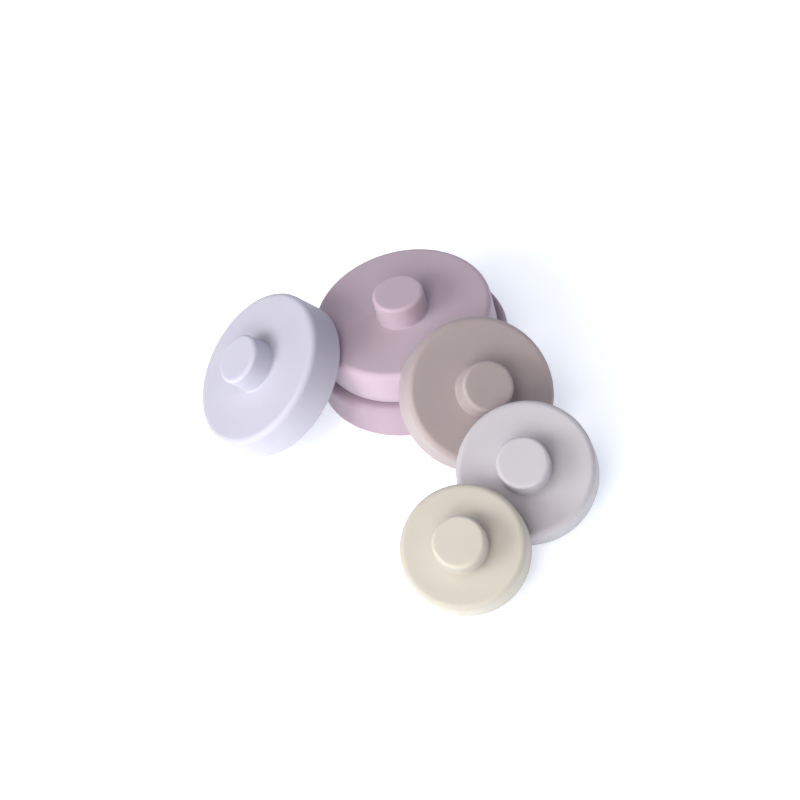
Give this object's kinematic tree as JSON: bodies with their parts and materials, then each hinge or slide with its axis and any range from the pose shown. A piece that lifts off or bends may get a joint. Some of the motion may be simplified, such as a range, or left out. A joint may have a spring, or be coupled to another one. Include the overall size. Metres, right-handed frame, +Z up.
{
  "type": "stacking toy",
  "caption": "Toddler stacking toy of soft round silicone discs in muted colours, each with a peg on top that plugs into the socket under the next; two stacked, the rest leaning beside them.",
  "frame": {"origin": "centre of the largest disc's underside, on the floor, at the mouth of its socket", "axes": "+Z up, along the stacked discs' common axis; the leaning discs run towards -Y and -X"},
  "size_m": [0.1642, 0.2124, 0.0572],
  "materials": {
    "deep_rose": "satin",
    "dusty_rose": "satin",
    "lavender_grey": "satin",
    "taupe": "satin",
    "mauve_grey": "satin",
    "cream": "satin"
  },
  "bodies": {
    "base": {"base_disc": "deep_rose"},
    "rose": {"rose_disc": "dusty_rose"},
    "lavender": {"lavender_disc": "lavender_grey"},
    "taupe": {"taupe_disc": "taupe"},
    "mauve": {"mauve_disc": "mauve_grey"},
    "cream": {"cream_disc": "cream"}
  },
  "joints": [
    {"name": "rose_lift", "type": "slide", "parent": "base", "child": "rose", "axis": [0, 0, 1], "range_m": [0, 0.045]},
    {"name": "lavender_lift", "type": "slide", "parent": "rose", "child": "lavender", "axis": [-0.5746, -0.0614, 0.8161], "range_m": [0, 0.06]},
    {"name": "taupe_lift", "type": "slide", "parent": "rose", "child": "taupe", "axis": [0.2732, -0.6136, 0.7408], "range_m": [0, 0.06]},
    {"name": "mauve_lift", "type": "slide", "parent": "taupe", "child": "mauve", "axis": [-0.0681, -0.4908, 0.8686], "range_m": [0, 0.06]},
    {"name": "cream_lift", "type": "slide", "parent": "mauve", "child": "cream", "axis": [-0.1068, -0.5023, 0.8581], "range_m": [0, 0.06]}
  ]
}
